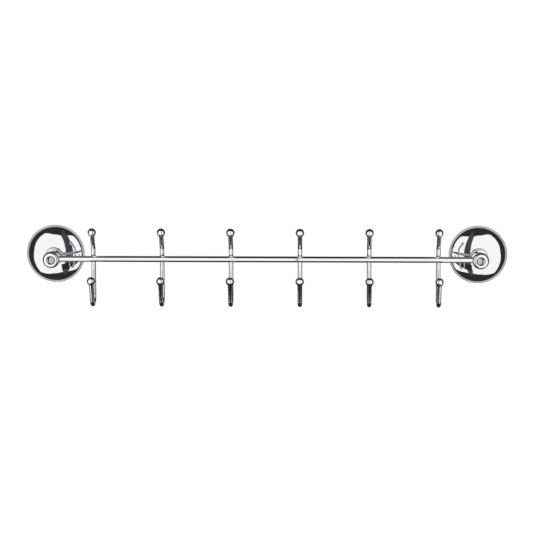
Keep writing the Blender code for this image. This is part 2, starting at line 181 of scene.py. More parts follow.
WASHER_RADIUS = 5 * MM
WASHER_HEIGHT = 1 * MM
WASHER_BORE_ROUNDING = 0.1 * MM
STUD_HOLE_RADIUS = STUD_RADIUS + SEAT_GAP
COVER_SCREW_RADIUS = 1.1 * MM
COVER_SCREW_LENGTH = 4 * MM
COVER_SCREW_DEPTH = 1.7 * MM
COVER_SCREW_SINK = 1.2 * MM
COVER_SCREW_CLEARANCE = 0.15 * MM
COVER_SCREW_MOUTH_ROUNDING = 0.15 * MM
COVER_SCREW_END_ROUNDING = 0.3 * MM
SOCKET_RADIUS = 0.6 * MM
SOCKET_LENGTH = 2.4 * MM

FROM_WALL = Matrix.Rotation(math.radians(90), 4, "X")
ALONG_BAR = Matrix.Rotation(math.radians(90), 4, "Y")


# Mesh helpers.
def new_object(name, mesh, material=None):
    obj = bpy.data.objects.new(name, mesh)
    bpy.context.scene.collection.objects.link(obj)
    if material is not None:
        mesh.materials.append(material)
    return obj


def finish_mesh(name, bm, matrix=None, sharp_angle=SHARP_ANGLE):
    """Mesh with outward normals, smooth but for edges sharper than the angle."""
    bmesh.ops.recalc_face_normals(bm, faces=bm.faces)
    mesh = bpy.data.meshes.new(name)
    bm.to_mesh(mesh)
    bm.free()
    if matrix is not None:
        mesh.transform(matrix)
    mesh.shade_smooth()
    mesh.set_sharp_from_angle(angle=math.radians(sharp_angle))
    return mesh


def fillet(points, step_angle=8):
    """A polyline of (r, z, corner radius) points with each corner turned into an arc."""
    result = []
    for i, (r, z, radius) in enumerate(points):
        if radius == 0 or i in (0, len(points) - 1):
            result.append((r, z))
            continue
        here = Vector((r, z))
        back = Vector(points[i - 1][:2]) - here
        ahead = Vector(points[i + 1][:2]) - here
        corner = back.angle(ahead)
        if corner > math.radians(179):
            result.append((r, z))
            continue
        back.normalize()
        ahead.normalize()
        reach = radius / math.tan(corner / 2)
        centre = here + (back + ahead).normalized() * (radius / math.sin(corner / 2))
        start = here + back * reach - centre
        end = here + ahead * reach - centre
        turn = start.angle_signed(end)
        count = max(2, math.ceil(abs(math.degrees(turn)) / step_angle))
        for k in range(count + 1):
            angle = -turn * k / count
            spoke = Matrix.Rotation(angle, 2) @ start
            result.append((centre.x + spoke.x, centre.y + spoke.y))
    return result


def arc(centre_r, centre_z, radius, start, end, count):
    """Points of a circular arc, angles in degrees from +r towards +z."""
    points = []
    for i in range(count + 1):
        angle = math.radians(start + (end - start) * i / count)
        points.append((centre_r + radius * math.cos(angle), centre_z + radius * math.sin(angle)))
    return points


def lathe_bm(profile, segments, closed=False):
    """Turns (r, z) points about Z. A point on the axis becomes one vertex."""
    bm = bmesh.new()
    rings = []
    for r, z in profile:
        if abs(r) < 1e-7:
            rings.append([bm.verts.new((0, 0, z))])
            continue
        ring = []
        for k in range(segments):
            angle = 2 * math.pi * k / segments
            ring.append(bm.verts.new((r * math.cos(angle), r * math.sin(angle), z)))
        rings.append(ring)
    pairs = list(zip(rings, rings[1:]))
    if closed:
        pairs.append((rings[-1], rings[0]))
    for first, second in pairs:
        for k in range(segments):
            corners = [
                first[k % len(first)],
                first[(k + 1) % len(first)],
                second[(k + 1) % len(second)],
                second[k % len(second)],
            ]
            unique = list(dict.fromkeys(corners))
            if len(unique) > 2:
                bm.faces.new(unique)
    return bm


def lathe(name, profile, segments, matrix, material, closed=False, sharp_angle=SHARP_ANGLE):
    bm = lathe_bm(profile, segments, closed)
    return new_object(name, finish_mesh(name, bm, matrix, sharp_angle), material)


def swept_rod(name, path, segments, matrix, material):
    """A round rod along (reach, height, radius) points in the plane X = 0, with reach towards -Y."""
    bm = bmesh.new()
    rings = []
    last = len(path) - 1
    for i, (reach, height, radius) in enumerate(path):
        before = path[max(i - 1, 0)]
        after = path[min(i + 1, last)]
        tangent = Vector((0, -(after[0] - before[0]), after[1] - before[1])).normalized()
        across = Vector((1, 0, 0))
        third = tangent.cross(across)
        centre = Vector((0, -reach, height))
        ring = []
        for k in range(segments):
            angle = 2 * math.pi * k / segments
            spoke = across * math.cos(angle) + third * math.sin(angle)
            ring.append(bm.verts.new(centre + spoke * radius))
        rings.append(ring)
    for first, second in zip(rings, rings[1:]):
        for k in range(segments):
            m = (k + 1) % segments
            bm.faces.new((first[k], first[m], second[m], second[k]))
    bm.faces.new(rings[0])
    bm.faces.new(rings[-1])
    return new_object(name, finish_mesh(name, bm, matrix), material)


def thread_bm(core, crest, pitch, start, end, taper=0):
    """A rod about Z with a helical thread between two heights, narrowed to a point over the taper."""
    segments = THREAD_SEGMENTS
    shape = (0, 0, 0.5, 1, 0.5, 0)
    per_pitch = len(shape)
    bm = bmesh.new()
    rows = []
    count = round((end - start) / pitch * per_pitch)
    for i in range(count + 1):
        row = []
        for k in range(segments + 1):
            z = min(start + (i / per_pitch + k / segments) * pitch, end)
            share = 1 if taper == 0 else min(1, (z - start) / taper)
            radius = (core + (crest - core) * shape[i % per_pitch]) * share
            angle = 2 * math.pi * k / segments
            row.append(bm.verts.new((radius * math.cos(angle), radius * math.sin(angle), z)))
        rows.append(row)
    for first, second in zip(rows, rows[1:]):
        for k in range(segments):
            bm.faces.new((first[k], first[k + 1], second[k + 1], second[k]))
    bmesh.ops.remove_doubles(bm, verts=bm.verts, dist=1e-6)
    bmesh.ops.holes_fill(bm, edges=bm.edges, sides=0)
    return bm


def prism(name, radius, length, sides, matrix):
    """A prism about Z, drawn for use in a Boolean."""
    bm = bmesh.new()
    bmesh.ops.create_cone(
        bm, cap_ends=True, segments=sides, radius1=radius, radius2=radius, depth=length
    )
    return new_object(name, finish_mesh(name, bm, matrix))


def boolean(obj, other, operation="DIFFERENCE"):
    """Applies the Boolean at once and removes the other object."""
    modifier = obj.modifiers.new("boolean", "BOOLEAN")
    modifier.operation = operation
    modifier.solver = "EXACT"
    modifier.object = other
    depsgraph = bpy.context.evaluated_depsgraph_get()
    mesh = bpy.data.meshes.new_from_object(obj.evaluated_get(depsgraph))
    obj.modifiers.clear()
    old = obj.data
    obj.data = mesh
    mesh.name = obj.name
    bpy.data.meshes.remove(old)
    bpy.data.objects.remove(other, do_unlink=True)
    mesh.shade_smooth()
    mesh.set_sharp_from_angle(angle=math.radians(SHARP_ANGLE))


def place(obj, *nodes, slot):
    """Lets a piece stand for its CAD nodes, which it hides, and ride on the body."""
    if nodes:
        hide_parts(*nodes)
    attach(obj, "root")


# Materials. Most of a noise lies in its middle range, which is spread over the whole range of a value.
NOISE_MIDDLE = (0.3, 0.7)
CLOUD_DETAIL = 3
GRAIN_DETAIL = 4
BUMP_STRENGTH = 0.2


def node_material(name):
    material = bpy.data.materials.new(name)
    material.use_nodes = True
    return material, material.node_tree.nodes, material.node_tree.links


def noise(nodes, links, coordinates, scale, detail):
    texture = nodes.new("ShaderNodeTexNoise")
    texture.inputs["Scale"].default_value = scale
    texture.inputs["Detail"].default_value = detail
    links.new(coordinates, texture.inputs["Vector"])
    return texture.outputs["Fac"]


def ramp(nodes, links, value, low, high):
    """Maps the middle of a noise to the range from low to high."""
    mapping = nodes.new("ShaderNodeMapRange")
    mapping.inputs["From Min"].default_value = NOISE_MIDDLE[0]
    mapping.inputs["From Max"].default_value = NOISE_MIDDLE[1]
    mapping.inputs["To Min"].default_value = low
    mapping.inputs["To Max"].default_value = high
    links.new(value, mapping.inputs["Value"])
    return mapping.outputs["Result"]


def mix_colour(nodes, links, factor, first, second):
    mix = nodes.new("ShaderNodeMix")
    mix.data_type = "RGBA"
    mix.inputs["A"].default_value = (*first, 1)
    mix.inputs["B"].default_value = (*second, 1)
    links.new(factor, mix.inputs["Factor"])
    return mix.outputs["Result"]


def metal(name, colours, roughness, cloud_scale, grain_scale, grain_height):
    """Metal with clouded colour and roughness and a fine bump."""
    material, nodes, links = node_material(name)
    shader = nodes["Principled BSDF"]
    shader.inputs["Metallic"].default_value = 1.0
    coordinates = nodes.new("ShaderNodeTexCoord").outputs["Object"]
    clouds = noise(nodes, links, coordinates, cloud_scale, CLOUD_DETAIL)
    share = ramp(nodes, links, clouds, 0, 1)
    links.new(mix_colour(nodes, links, share, *colours), shader.inputs["Base Color"])
    grain = noise(nodes, links, coordinates, grain_scale, GRAIN_DETAIL)
    links.new(ramp(nodes, links, grain, *roughness), shader.inputs["Roughness"])
    bump = nodes.new("ShaderNodeBump")
    bump.inputs["Strength"].default_value = BUMP_STRENGTH
    bump.inputs["Distance"].default_value = grain_height
    links.new(grain, bump.inputs["Height"])
    links.new(bump.outputs["Normal"], shader.inputs["Normal"])
    return material


chrome = metal(
    "chrome_plate",
    colours=((0.93, 0.93, 0.935), (0.9, 0.905, 0.915)),
    roughness=(0.02, 0.05),
    cloud_scale=45,
    grain_scale=260,
    grain_height=0.002 * MM,
)
satin = metal(
    "satin_chrome",
    colours=((0.58, 0.58, 0.57), (0.44, 0.44, 0.44)),
    roughness=(0.1, 0.18),
    cloud_scale=120,
    grain_scale=1500,
    grain_height=0.01 * MM,
)
zinc = metal(
    "zinc_plate",
    colours=((0.6, 0.61, 0.63), (0.52, 0.52, 0.5)),
    roughness=(0.28, 0.48),
    cloud_scale=160,
    grain_scale=900,
    grain_height=0.03 * MM,
)
braze_metal = metal(
    "plated_braze",
    colours=((0.88, 0.88, 0.885), (0.8, 0.8, 0.81)),
    roughness=(0.06, 0.14),
    cloud_scale=300,
    grain_scale=700,
    grain_height=0.02 * MM,
)


# Profiles.
def dome_height(radius):
    """Height above the wall of the dome's outer face, which is part of a sphere."""
    return DOME_APEX - DOME_RADIUS + math.sqrt(DOME_RADIUS**2 - radius**2)


def cover_profile():
    """Closed section of the pressed sheet: outer face out to the rim, then the inner face back."""
    hole = STUD_HOLE_RADIUS
    outer = []
    inner = []
    for i in range(DOME_STEPS):
        radius = hole + (DOME_EDGE_RADIUS - hole) * i / DOME_STEPS
        outer.append((radius, dome_height(radius)))
        slope = math.asin(radius / DOME_RADIUS)
        inner_radius = radius - FLANGE_SHEET * math.sin(slope)
        inner.append((inner_radius, dome_height(radius) - FLANGE_SHEET * math.cos(slope)))
    inner[0] = (hole, inner[0][1])

    # The skirt is an arc from the dome's edge down to the wall. Its chord sets the arc's middle direction.
    chord = math.hypot(RIM_WIDTH, RIM_HEIGHT)
    middle = math.degrees(math.atan2(RIM_WIDTH, RIM_HEIGHT))
    half_span = math.degrees(math.asin(chord / 2 / RIM_CURVE_RADIUS))
    top = middle + half_span
    bottom = middle - half_span
    end = math.radians(bottom)
    centre_r = FLANGE_RADIUS - RIM_CURVE_RADIUS * math.cos(end)
    centre_z = -RIM_CURVE_RADIUS * math.sin(end)
    outside = arc(centre_r, centre_z, RIM_CURVE_RADIUS, top, bottom, SKIRT_STEPS)
    inside = arc(centre_r, centre_z, RIM_CURVE_RADIUS - FLANGE_SHEET, bottom, top, SKIRT_STEPS)
    foot_r = FLANGE_RADIUS - FLANGE_SHEET / math.cos(end)
    foot = [
        (FLANGE_RADIUS, FOOT_CHAMFER_HEIGHT),
        (FLANGE_RADIUS - FOOT_CHAMFER_WIDTH, 0),
        (foot_r + FOOT_INNER_CHAMFER, 0),
    ]
    skirt_in = [point for point in inside if FOOT_INNER_CHAMFER < point[1] < inner[-1][1]]
    return outer + outside[1:-1] + foot + skirt_in + inner[::-1]


def post_profile():
    """Stem and stepped collar, with an underside that follows the dome."""
    base = dome_height(COLLAR_RADIUS)
    tenon = KNOB_BACK + TENON_LENGTH
    foot_radius = COLLAR_RADIUS - COLLAR_UNDERCUT
    edge_top = base + SEAT_GAP + COLLAR_EDGE_HEIGHT
    shoulder_top = edge_top + COLLAR_SHOULDER
    step_top = shoulder_top + COLLAR_STEP_HEIGHT
    front = fillet(
        [
            (0, tenon, 0),
            (STEM_RADIUS, tenon, EDGE_ROUNDING),
            (STEM_RADIUS, step_top, STEM_FILLET),
            (COLLAR_STEP_RADIUS, step_top, COLLAR_STEP_ROUNDING),
            (COLLAR_STEP_RADIUS, shoulder_top, EDGE_ROUNDING),
            (COLLAR_RADIUS, shoulder_top, COLLAR_SHOULDER),
            (COLLAR_RADIUS, base + CONTACT_GAP, COLLAR_EDGE_ROUNDING),
            (foot_radius, dome_height(foot_radius) + CONTACT_GAP, 0),
        ]
    )
    underside = []
    for i in range(COLLAR_STEPS):
        radius = foot_radius - (foot_radius - STUD_RADIUS) * (i + 1) / COLLAR_STEPS
        underside.append((radius, dome_height(radius) + CONTACT_GAP))
    return front + underside + [(0, underside[-1][1])]


def knob_profile():
    """Barrel with a seat for the button in front and a socket for the stem behind."""
    seat = KNOB_FRONT - CAP_SEAT_DEPTH
    seat_radius = CAP_RADIUS + BORE_CLEARANCE
    socket = KNOB_BACK + KNOB_SOCKET_DEPTH
    return fillet(
        [
            (0, seat, 0),
            (seat_radius, seat, KNOB_SEAT_ROUNDING),
            (seat_radius, KNOB_FRONT, KNOB_MOUTH_ROUNDING),
            (KNOB_RADIUS, KNOB_FRONT, KNOB_FRONT_ROUNDING),
            (KNOB_RADIUS, KNOB_BACK, KNOB_BACK_ROUNDING),
            (KNOB_SOCKET_RADIUS, KNOB_BACK, EDGE_ROUNDING),
            (KNOB_SOCKET_RADIUS, socket, 0),
            (0, socket, 0),
        ],
        step_angle=5,
    )


def cap_profile():
    """Button with a dished face, from its middle out and round the edge."""
    edge_radius = CAP_RADIUS - CAP_EDGE_WIDTH
    sphere = (edge_radius**2 + CAP_DISH**2) / (2 * CAP_DISH)
    centre = KNOB_FRONT - CAP_DISH + sphere
    spread = math.degrees(math.asin(edge_radius / sphere))
    dish = arc(0, centre, sphere, -90, -90 + spread, DISH_STEPS)
    dish[0] = (0, dish[0][1])
    seat = KNOB_FRONT - CAP_SEAT_DEPTH
    return dish + [
        (CAP_RADIUS - CAP_CORNER[0], KNOB_FRONT - CAP_CORNER[1]),
        (CAP_RADIUS, KNOB_FRONT - EDGE_ROUNDING),
        (CAP_RADIUS, seat),
        (0, seat),
    ]


def ball_profile():
    """Ball, and below it the short neck that meets the wire."""
    neck_end = -(BALL_RADIUS + NECK_LENGTH)
    neck_angle = -math.degrees(math.acos(NECK_RADIUS / BALL_RADIUS)) + NECK_CLEAR_ANGLE
    ball = arc(0, 0, BALL_RADIUS, 90, neck_angle, BALL_STEPS)
    ball[0] = (0, BALL_RADIUS)
    neck = fillet(
        [
            (*ball[-1], 0),
            (NECK_RADIUS, ball[-1][1] - NECK_TOP_DROP, NECK_TOP_ROUNDING),
            (NECK_RADIUS, neck_end, NECK_END_ROUNDING),
            (0, neck_end, 0),
        ]
    )
    return ball + neck[1:]


def wire_path():
    """Centreline of a hook wire from one ball to the other, as (reach, height, radius) points."""

    def below(ball, lean, distance):
        """The point this far down a leaning prong from the middle of its ball."""
        return (ball[0] - math.sin(lean) * distance, ball[1] - math.cos(lean) * distance)

    shoulder = BALL_RADIUS + NECK_LENGTH - NECK_OVERLAP
    path = [(*below(UPPER_BALL, UPPER_LEAN, shoulder), WIRE_RADIUS)]
    radius = UPPER_BEND_RADIUS
    straight = (UPPER_BALL[0] - radius * (1 - math.cos(UPPER_LEAN))) / math.sin(UPPER_LEAN)
    bend_top = below(UPPER_BALL, UPPER_LEAN, straight)[1]
    centre = bend_top - radius * math.sin(UPPER_LEAN)
    for i in range(UPPER_BEND_STEPS + 1):
        angle = UPPER_LEAN * (1 - i / UPPER_BEND_STEPS)
        path.append((radius * (1 - math.cos(angle)), centre + radius * math.sin(angle), WIRE_RADIUS))
    radius = LOWER_BEND_RADIUS
    prong = (LOWER_BALL[0] - radius * (1 + math.cos(LOWER_LEAN))) / math.sin(LOWER_LEAN)
    centre = below(LOWER_BALL, LOWER_LEAN, prong)[1] + radius * math.sin(LOWER_LEAN)
    turn = math.pi - LOWER_LEAN
    for i in range(LOWER_BEND_STEPS + 1):
        angle = turn * i / LOWER_BEND_STEPS
        path.append((radius * (1 - math.cos(angle)), centre - radius * math.sin(angle), WIRE_RADIUS))
    path.append((*below(LOWER_BALL, LOWER_LEAN, shoulder), WIRE_RADIUS))
    return path


# Pieces.
def build_bar():
    half = POST_SPACING / 2 - BAR_END_TO_KNOB_AXIS
    profile = fillet(
        [
            (0, -half, 0),
            (BAR_RADIUS, -half, BAR_END_ROUNDING),
            (BAR_RADIUS, half, BAR_END_ROUNDING),
            (0, half, 0),
        ]
    )
    matrix = Matrix.Translation((0, -BAR_STANDOFF, 0)) @ ALONG_BAR
    place(lathe("bar_rod", profile, LARGE_SEGMENTS, matrix, chrome), "bar", slot="chrome")


def build_cover(side, centre):
    name = side + "_cover_shell"
    cover = lathe(
        name,
        cover_profile(),
        COVER_SEGMENTS,
        centre,
        chrome,
        closed=True,
        sharp_angle=COVER_SHARP_ANGLE,
    )
    hole_matrix = centre @ Matrix.Translation((0, -FLANGE_RADIUS, COVER_SCREW_DEPTH)) @ FROM_WALL
    hole_radius = COVER_SCREW_RADIUS + COVER_SCREW_CLEARANCE
    hole_length = 2 * (RIM_WIDTH + 2 * FLANGE_SHEET)
    boolean(cover, prism("hole", hole_radius, hole_length, COVER_HOLE_SEGMENTS, hole_matrix))
    place(cover, side + "_flange_cover", slot="chrome")


def build_post(side, centre):
    post = lathe(side + "_post_stem", post_profile(), LARGE_SEGMENTS, centre, chrome)
    place(post, side + "_post", slot="chrome")
    stud_core = STUD_RADIUS - STUD_THREAD_DEPTH
    stud_top = dome_height(STUD_RADIUS) + STUD_OVERLAP
    bm = thread_bm(stud_core, STUD_RADIUS, STUD_PITCH, STUD_TAIL, stud_top)
    name = side + "_post_stud"
    place(new_object(name, finish_mesh(name, bm, centre), zinc), slot="zinc_steel")


def build_knob(side, centre, inward):
    knob = lathe(side + "_knob_body", knob_profile(), KNOB_SEGMENTS, centre, chrome)
    offset = inward * (BAR_END_TO_KNOB_AXIS + KNOB_RADIUS)
    hole_matrix = centre @ Matrix.Translation((offset, 0, BAR_STANDOFF)) @ ALONG_BAR
    hole_radius = BAR_RADIUS + BORE_CLEARANCE
    boolean(knob, prism("hole", hole_radius, 2 * KNOB_RADIUS, LARGE_SEGMENTS, hole_matrix))
    place(knob, side + "_knob", slot="chrome")
    cap = lathe(side + "_knob_button", cap_profile(), LARGE_SEGMENTS, centre, satin)
    place(cap, side + "_knob_cap", slot="chrome")


def bracket_section():
    """Middle line of the strap in (height, distance from the wall), with its bends rounded."""
    half = BRACKET_HALF_HEIGHT - BRACKET_SHEET / 2
    middle = BRACKET_SHEET / 2
    return fillet(
        [
            (half, BRACKET_LUG, 0),
            (half, middle, BRACKET_BEND),
            (-half, middle, BRACKET_BEND),
            (-half, BRACKET_LUG, 0),
        ],
        step_angle=15,
    )


def build_bracket(side, centre):
    name = side + "_bracket_strap"
    bm = bmesh.new()
    rows = []
    for height, depth in bracket_section():
        ends = [(share * BRACKET_WIDTH, height, depth) for share in (-0.5, 0.5)]
        rows.append([bm.verts.new(end) for end in ends])
    for first, second in zip(rows, rows[1:]):
        bm.faces.new((first[0], first[1], second[1], second[0]))
    strap = new_object(name, finish_mesh(name, bm, centre), zinc)
    sheet = strap.modifiers.new("sheet", "SOLIDIFY")
    sheet.thickness = BRACKET_SHEET
    sheet.offset = 0
    hole_radius = WALL_SCREW_RADIUS + WALL_SCREW_CLEARANCE
    hole_length = 6 * BRACKET_SHEET
    for y in (WALL_SCREW_SPACING / 2, -WALL_SCREW_SPACING / 2):
        matrix = centre @ Matrix.Translation((0, y, 0))
        boolean(strap, prism("hole", hole_radius, hole_length, STRAP_HOLE_SEGMENTS, matrix))
    edge = strap.modifiers.new("edge", "BEVEL")
    edge.width = EDGE_ROUNDING
    edge.segments = 2
    edge.limit_method = "ANGLE"
    edge.angle_limit = math.radians(BRACKET_SHARP_ANGLE)
    place(strap, side + "_wall_bracket", slot="zinc_steel")


def build_wall_screw(side, centre, where, y):
    """Pan head with a cross recess, and a threaded shank that narrows to a point in the wall."""
    matrix = centre @ Matrix.Translation((0, y, 0))
    seat = BRACKET_SHEET + CONTACT_GAP
    top = BRACKET_SHEET + SEAT_GAP + SCREW_HEAD_HEIGHT
    profile = fillet(
        [
            (0, top, 0),
            (SCREW_HEAD_RADIUS, top, SCREW_HEAD_ROUNDING),
            (SCREW_HEAD_RADIUS, seat, EDGE_ROUNDING),
            (WALL_SCREW_CORE, seat, 0),
            (WALL_SCREW_CORE, -SCREW_HEAD_ROOT, 0),
            (0, -SCREW_HEAD_ROOT, 0),
        ]
    )
    name = side + "_screw_head_" + where
    head = lathe(name, profile, SMALL_SEGMENTS, matrix, zinc)
    blade = Matrix.Diagonal((1, RECESS_NARROWING, 1, 1)) @ Matrix.Rotation(math.radians(45), 4, "Z")
    for quarter in (0, 90):
        turn = matrix @ Matrix.Translation((0, 0, top)) @ Matrix.Rotation(math.radians(quarter), 4, "Z")
        boolean(head, prism("recess", RECESS_RADIUS, RECESS_LENGTH, 4, turn @ blade))
    place(head, side + "_wall_screw_" + where, slot="zinc_steel")
    bm = thread_bm(
        WALL_SCREW_CORE,
        WALL_SCREW_RADIUS,
        WALL_SCREW_PITCH,
        -WALL_SCREW_LENGTH,
        seat,
        taper=WALL_SCREW_TIP,
    )
    name = side + "_screw_thread_" + where
    place(new_object(name, finish_mesh(name, bm, matrix), zinc), slot="zinc_steel")


def build_fastening(side, centre):
    """Washer and nut on the post's stud, and the small socket screw in the underside of the rim."""
    top = dome_height(WASHER_RADIUS) - FLANGE_SHEET
    washer = fillet(
        [
            (STUD_HOLE_RADIUS, top, WASHER_BORE_ROUNDING),
            (WASHER_RADIUS, top, EDGE_ROUNDING),
            (WASHER_RADIUS, top - WASHER_HEIGHT, EDGE_ROUNDING),
            (STUD_HOLE_RADIUS, top - WASHER_HEIGHT, WASHER_BORE_ROUNDING),
        ]
    )
    ring = lathe(side + "_washer_ring", washer, SMALL_SEGMENTS, centre, zinc, closed=True)
    place(ring, side + "_post_washer", slot="zinc_steel")

    nut_top = top - WASHER_HEIGHT - CONTACT_GAP
    nut_end = nut_top - NUT_HEIGHT
    corner = NUT_ACROSS_FLATS / 2 / math.cos(math.radians(30))
    chamfered = fillet(
        [
            (0, nut_top, 0),
            (corner - NUT_CHAMFER_WIDTH, nut_top, 0),
            (corner, nut_top - NUT_CHAMFER_HEIGHT, 0),
            (corner, nut_end + NUT_CHAMFER_HEIGHT, 0),
            (corner - NUT_CHAMFER_WIDTH, nut_end, 0),
            (0, nut_end, 0),
        ]
    )
    name = side + "_nut_body"
    nut = lathe(name, chamfered, SMALL_SEGMENTS, centre, zinc, sharp_angle=NUT_SHARP_ANGLE)
    middle = centre @ Matrix.Translation((0, 0, nut_top - NUT_HEIGHT / 2))
    boolean(nut, prism("hexagon", corner, 2 * NUT_HEIGHT, 6, middle), operation="INTERSECT")
    hole_radius = STUD_RADIUS + CONTACT_GAP
    boolean(nut, prism("hole", hole_radius, 2 * NUT_HEIGHT, THIN_SEGMENTS, middle))
    place(nut, side + "_post_nut", slot="zinc_steel")

    outer_end = FLANGE_RADIUS - COVER_SCREW_SINK
    screw = fillet(
        [
            (0, 0, 0),
            (COVER_SCREW_RADIUS, 0, COVER_SCREW_MOUTH_ROUNDING),
            (COVER_SCREW_RADIUS, COVER_SCREW_LENGTH, COVER_SCREW_END_ROUNDING),
            (0, COVER_SCREW_LENGTH, 0),
        ]
    )
    matrix = centre @ Matrix.Translation((0, -outer_end, COVER_SCREW_DEPTH))
    matrix = matrix @ Matrix.Rotation(math.radians(-90), 4, "X")
    grub = lathe(side + "_cover_grub", screw, THIN_SEGMENTS, matrix, zinc)
    boolean(grub, prism("socket", SOCKET_RADIUS, SOCKET_LENGTH, 6, matrix))
    place(grub, side + "_cover_screw", slot="zinc_steel")


def build_hooks():
    path = wire_path()
    ball = ball_profile()
    first = -HOOK_SPACING * (HOOK_COUNT - 1) / 2
    for i in range(HOOK_COUNT):
        name = "hook_%d" % (i + 1)
        origin = Matrix.Translation((first + HOOK_SPACING * i, -WIRE_STANDOFF, 0))
        wire = swept_rod(name + "_rod", path, THIN_SEGMENTS, origin, chrome)
        place(wire, name + "_wire", slot="chrome")
        for which, (reach, height), lean in (
            ("upper", UPPER_BALL, UPPER_LEAN),
            ("lower", LOWER_BALL, LOWER_LEAN),
        ):
            matrix = origin @ Matrix.Translation((0, -reach, height)) @ Matrix.Rotation(lean, 4, "X")
            tip = lathe("%s_%s_tip" % (name, which), ball, SMALL_SEGMENTS, matrix, chrome)
            place(tip, "%s_%s_ball" % (name, which), slot="chrome")
        build_braze(name, origin)


def build_braze(name, origin):
    """The fillet of braze between the bar and the wire behind it, out of sight from the front."""
    bm = bmesh.new()
    bmesh.ops.create_uvsphere(bm, u_segments=32, v_segments=20, radius=1)
    shape = Matrix.Translation((0, -WIRE_RADIUS - SEAT_GAP / 2, 0))
    shape = shape @ Matrix.Diagonal((*BRAZE_HALF_SIZES, 1))
    mesh = finish_mesh(name + "_braze", bm, origin @ shape)
    place(new_object(name + "_braze", mesh, braze_metal), slot="chrome")


def build_ends():
    for side, direction in SIDES:
        centre = Matrix.Translation((direction * POST_SPACING / 2, 0, 0)) @ FROM_WALL
        build_cover(side, centre)
        build_post(side, centre)
        build_knob(side, centre, -direction)
        build_bracket(side, centre)
        for where, y in (("upper", WALL_SCREW_SPACING / 2), ("lower", -WALL_SCREW_SPACING / 2)):
            build_wall_screw(side, centre, where, y)
        build_fastening(side, centre)


# Studio. The tent and the panels are seen only in the rail's reflections.
FLOOR_DROP = 1.2
FLOOR_RADIUS = 1.5
FLOOR_TINT = (0.86, 0.86, 0.85, 1)
FLOOR_ROUGHNESS = 0.7
FLOOR_SEGMENTS = 128
BACKDROP_ROUGHNESS = 0.9
BLACK = (0, 0, 0, 1)
DARK_TINT = (0.02, 0.019, 0.023, 1)
GREY_TINT = (0.45, 0.45, 0.45, 1)
SLATE_TINT = (0.034, 0.037, 0.05, 1)

# Outlines on the tent are in degrees: a turn from straight down, -90, to straight up, 90, then the angle off
# the axis in front of the wall.
TENT_RADIUS = 1.8
TENT_COLUMNS = 144
TENT_ROWS = 16
OPENING = (
    (-90, 61), (-70, 66), (-45, 82), (-25, 77), (-2, 71), (20, 70), (47, 67), (67, 53), (90, 48)
)
BAND_BACK = ((-90, 152), (90, 152))
TENT_END = ((-90, 179.5), (90, 179.5))

# The panels' edges are in (distance from the wall, height). The slope keeps the front panel edge on in what
# the bar mirrors.
PANEL_X = HOOK_SPACING / 2
PANEL_SLOPE = -0.0125
PANEL_NEAR = ((0.36, -1.2), (0.27, -0.5), (0.24, 0), (0.31, 0.4), (0.48, 1.15))
PANEL_FAR = ((0.85, -1.2), (0.62, -0.5), (0.52, -0.05), (0.64, 0.4), (1.02, 1.15))
LOW_PANEL_ENDS = (-0.2, 0.196)
LOW_PANEL_EDGES = ((0.098, -0.07), (0.07, -0.096))
WALL_INNER_RADIUS = FLANGE_RADIUS + 0.5 * MM
WALL_OUTER_RADIUS = 0.06

WORLD_LIGHT = 0.45
LAMP_SIZE = 1.0
LAMPS = (
    ("key", (-0.9, -1.4, 1.3), 18),
    ("fill", (1.2, -1.2, 0.5), 9),
    ("back", (0.2, 1.2, 1.4), 9),
)

# Camera. Angles are in degrees, and lens and sensor are in millimetres.
CAMERA_PLACE = (0.061, -2.0, 0.363)
CAMERA_YAW = 1.74
CAMERA_ELEVATION = 10.66
CAMERA_ROLL = -0.15
LENS = 128.8
SENSOR_WIDTH = 36


def plain_material(name, colour, roughness, glow):
    material, nodes, _ = node_material(name)
    shader = nodes["Principled BSDF"]
    shader.inputs["Base Color"].default_value = colour
    shader.inputs["Roughness"].default_value = roughness
    shader.inputs["Emission Color"].default_value = glow
    shader.inputs["Emission Strength"].default_value = 1.0
    return material


def build_floor():
    material = plain_material("pale_floor", FLOOR_TINT, FLOOR_ROUGHNESS, BLACK)
    bm = bmesh.new()
    bmesh.ops.create_circle(bm, cap_ends=True, segments=FLOOR_SEGMENTS, radius=FLOOR_RADIUS)
    matrix = Matrix.Translation((0, 0, -FLOOR_DROP))
    floor = new_object("floor", finish_mesh("floor", bm, matrix), material)
    floor.visible_glossy = False


def hang_backdrop(name, mesh, material):
    """Adds a backdrop that only reflections see."""
    backdrop = new_object(name, mesh, material)
    backdrop.visible_camera = False
    backdrop.visible_diffuse = False
    backdrop.visible_transmission = False
    backdrop.visible_volume_scatter = False
    backdrop.visible_shadow = False


def tent_point(turn, off_axis):
    """Point of the tent at this angle off the axis in front of the wall, turned from +X towards +Z."""
    turn = math.radians(turn)
    off_axis = math.radians(off_axis)
    return (
        TENT_RADIUS * math.sin(off_axis) * math.cos(turn),
        -TENT_RADIUS * math.cos(off_axis),
        TENT_RADIUS * math.sin(off_axis) * math.sin(turn),
    )


def between(points, turn):
    """Value at this turn on the broken line through (turn, value) points."""
    for (low, first), (high, second) in zip(points, points[1:]):
        if low <= turn <= high:
            return first + (second - first) * (turn - low) / (high - low)


